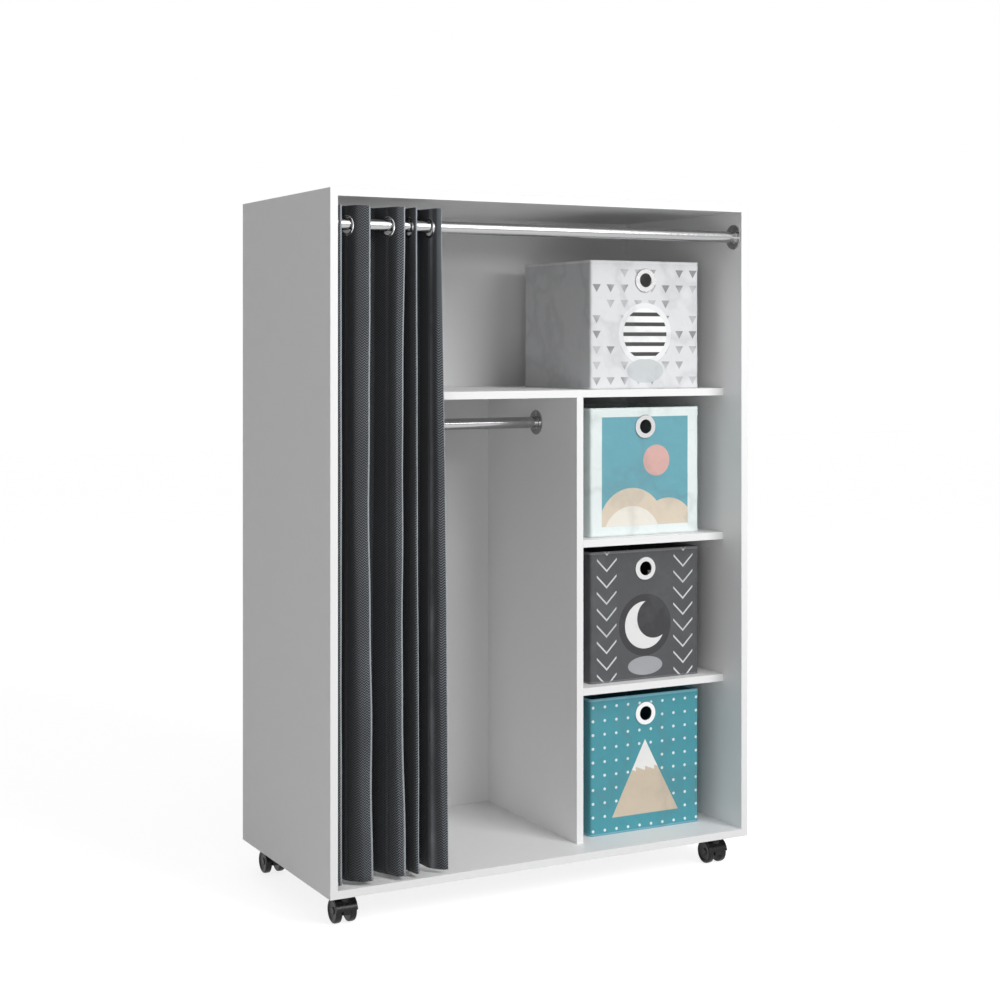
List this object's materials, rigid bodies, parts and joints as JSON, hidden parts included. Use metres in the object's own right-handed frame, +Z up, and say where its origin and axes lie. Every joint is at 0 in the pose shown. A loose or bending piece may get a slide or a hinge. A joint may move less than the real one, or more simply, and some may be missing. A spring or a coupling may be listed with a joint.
{
  "type": "kids wardrobe",
  "caption": "Open children's wardrobe on castors: board carcass with long shelf, divider, short shelves, clothes rail, sliding eyelet curtain and fabric storage boxes.",
  "frame": {"origin": "on the floor, under the middle of the carcass", "axes": "+Z up, the open front faces -Y, +X to the right seen from the front"},
  "size_m": [1, 0.498, 1.467],
  "materials": {
    "board": "satin white melamine",
    "back_board": "satin white foil",
    "steel": "zinc plated",
    "beech": "matt",
    "chrome": "polished",
    "eyelet_metal": "polished nickel",
    "curtain_cloth": "woven, matt",
    "card": "fabric covered board",
    "box_1_cloth": "smooth woven print",
    "box_2_cloth": "smooth woven print",
    "box_3_cloth": "smooth woven print",
    "box_4_cloth": "smooth woven print",
    "castor_black": "semi gloss moulded",
    "wheel_black": "semi gloss moulded"
  },
  "bodies": {
    "carcass": {"left_side": "board", "right_side": "board", "top_panel": "board", "bottom_panel": "board", "long_shelf": "board", "divider": "board", "shelf_middle": "board", "shelf_lower": "board", "back_panel": "back_board", "cam_locks": "steel", "cam_bolts": "steel", "shelf_pins": "steel", "flange_screws": "steel", "castor_plates": "steel", "castor_screws": "steel", "dowels": "beech", "curtain_rod": "chrome", "curtain_rod_flange_left": "chrome", "curtain_rod_flange_right": "chrome", "clothes_rail": "chrome", "clothes_rail_flange_left": "chrome", "clothes_rail_flange_right": "chrome", "curtain": "curtain_cloth", "curtain_eyelet_1": "eyelet_metal"},
    "eyelet_2": {"curtain_eyelet_2": "eyelet_metal"},
    "eyelet_3": {"curtain_eyelet_3": "eyelet_metal"},
    "eyelet_4": {"curtain_eyelet_4": "eyelet_metal"},
    "eyelet_5": {"curtain_eyelet_5": "eyelet_metal"},
    "eyelet_6": {"curtain_eyelet_6": "eyelet_metal"},
    "eyelet_7": {"curtain_eyelet_7": "eyelet_metal"},
    "eyelet_8": {"curtain_eyelet_8": "eyelet_metal"},
    "box_1": {"box_1_shell": "box_1_cloth", "box_1_eyelet": "eyelet_metal", "box_1_base": "card"},
    "box_2": {"box_2_shell": "box_2_cloth", "box_2_eyelet": "eyelet_metal", "box_2_base": "card"},
    "box_3": {"box_3_shell": "box_3_cloth", "box_3_eyelet": "eyelet_metal", "box_3_base": "card"},
    "box_4": {"box_4_shell": "box_4_cloth", "box_4_eyelet": "eyelet_metal", "box_4_base": "card"},
    "castor_fl": {"castor_fl_hood": "castor_black", "castor_fl_axle": "steel"},
    "wheel_fl_left": {"castor_fl_wheel_left": "wheel_black"},
    "wheel_fl_right": {"castor_fl_wheel_right": "wheel_black"},
    "castor_fr": {"castor_fr_hood": "castor_black", "castor_fr_axle": "steel"},
    "wheel_fr_left": {"castor_fr_wheel_left": "wheel_black"},
    "wheel_fr_right": {"castor_fr_wheel_right": "wheel_black"},
    "castor_bl": {"castor_bl_hood": "castor_black", "castor_bl_axle": "steel"},
    "wheel_bl_left": {"castor_bl_wheel_left": "wheel_black"},
    "wheel_bl_right": {"castor_bl_wheel_right": "wheel_black"},
    "castor_br": {"castor_br_hood": "castor_black", "castor_br_axle": "steel"},
    "wheel_br_left": {"castor_br_wheel_left": "wheel_black"},
    "wheel_br_right": {"castor_br_wheel_right": "wheel_black"}
  },
  "joints": [
    {"name": "curtain_slide_2", "type": "slide", "parent": "carcass", "child": "eyelet_2", "axis": [1, 0, 0], "range_m": [0, 0.1033], "deforming": ["curtain"]},
    {"name": "curtain_slide_3", "type": "slide", "parent": "eyelet_2", "child": "eyelet_3", "axis": [1, 0, 0], "range_m": [0, 0.1033]},
    {"name": "curtain_slide_4", "type": "slide", "parent": "eyelet_3", "child": "eyelet_4", "axis": [1, 0, 0], "range_m": [0, 0.1033]},
    {"name": "curtain_slide_5", "type": "slide", "parent": "eyelet_4", "child": "eyelet_5", "axis": [1, 0, 0], "range_m": [0, 0.1033]},
    {"name": "curtain_slide_6", "type": "slide", "parent": "eyelet_5", "child": "eyelet_6", "axis": [1, 0, 0], "range_m": [0, 0.1033]},
    {"name": "curtain_slide_7", "type": "slide", "parent": "eyelet_6", "child": "eyelet_7", "axis": [1, 0, 0], "range_m": [0, 0.1033]},
    {"name": "curtain_slide_8", "type": "slide", "parent": "eyelet_7", "child": "eyelet_8", "axis": [1, 0, 0], "range_m": [0, 0.1033]},
    {"name": "box_1_pull_out", "type": "slide", "parent": "carcass", "child": "box_1", "axis": [0, 1, 0], "range_m": [-0.18, 0]},
    {"name": "box_2_pull_out", "type": "slide", "parent": "carcass", "child": "box_2", "axis": [0, 1, 0], "range_m": [-0.18, 0]},
    {"name": "box_3_pull_out", "type": "slide", "parent": "carcass", "child": "box_3", "axis": [0, 1, 0], "range_m": [-0.18, 0]},
    {"name": "box_4_pull_out", "type": "slide", "parent": "carcass", "child": "box_4", "axis": [0, 1, 0], "range_m": [-0.18, 0]},
    {"name": "castor_fl_swivel", "type": "hinge", "parent": "carcass", "child": "castor_fl", "pos_m": [-0.448, -0.1955, 0.06], "axis": [0, 0, 1], "continuous": true},
    {"name": "wheel_fl_left_roll", "type": "hinge", "parent": "castor_fl", "child": "wheel_fl_left", "pos_m": [-0.448, -0.186, 0.025], "axis": [1, 0, 0], "continuous": true},
    {"name": "wheel_fl_right_roll", "type": "hinge", "parent": "castor_fl", "child": "wheel_fl_right", "pos_m": [-0.448, -0.186, 0.025], "axis": [1, 0, 0], "continuous": true},
    {"name": "castor_fr_swivel", "type": "hinge", "parent": "carcass", "child": "castor_fr", "pos_m": [0.448, -0.1955, 0.06], "axis": [0, 0, 1], "continuous": true},
    {"name": "wheel_fr_left_roll", "type": "hinge", "parent": "castor_fr", "child": "wheel_fr_left", "pos_m": [0.448, -0.186, 0.025], "axis": [1, 0, 0], "continuous": true},
    {"name": "wheel_fr_right_roll", "type": "hinge", "parent": "castor_fr", "child": "wheel_fr_right", "pos_m": [0.448, -0.186, 0.025], "axis": [1, 0, 0], "continuous": true},
    {"name": "castor_bl_swivel", "type": "hinge", "parent": "carcass", "child": "castor_bl", "pos_m": [-0.448, 0.1955, 0.06], "axis": [0, 0, 1], "continuous": true},
    {"name": "wheel_bl_left_roll", "type": "hinge", "parent": "castor_bl", "child": "wheel_bl_left", "pos_m": [-0.448, 0.205, 0.025], "axis": [1, 0, 0], "continuous": true},
    {"name": "wheel_bl_right_roll", "type": "hinge", "parent": "castor_bl", "child": "wheel_bl_right", "pos_m": [-0.448, 0.205, 0.025], "axis": [1, 0, 0], "continuous": true},
    {"name": "castor_br_swivel", "type": "hinge", "parent": "carcass", "child": "castor_br", "pos_m": [0.448, 0.1955, 0.06], "axis": [0, 0, 1], "continuous": true},
    {"name": "wheel_br_left_roll", "type": "hinge", "parent": "castor_br", "child": "wheel_br_left", "pos_m": [0.448, 0.205, 0.025], "axis": [1, 0, 0], "continuous": true},
    {"name": "wheel_br_right_roll", "type": "hinge", "parent": "castor_br", "child": "wheel_br_right", "pos_m": [0.448, 0.205, 0.025], "axis": [1, 0, 0], "continuous": true}
  ],
  "couplings": [
    {"joint": "curtain_slide_3", "follows": "curtain_slide_2", "ratio": 1},
    {"joint": "curtain_slide_4", "follows": "curtain_slide_2", "ratio": 1},
    {"joint": "curtain_slide_5", "follows": "curtain_slide_2", "ratio": 1},
    {"joint": "curtain_slide_6", "follows": "curtain_slide_2", "ratio": 1},
    {"joint": "curtain_slide_7", "follows": "curtain_slide_2", "ratio": 1},
    {"joint": "curtain_slide_8", "follows": "curtain_slide_2", "ratio": 1}
  ]
}
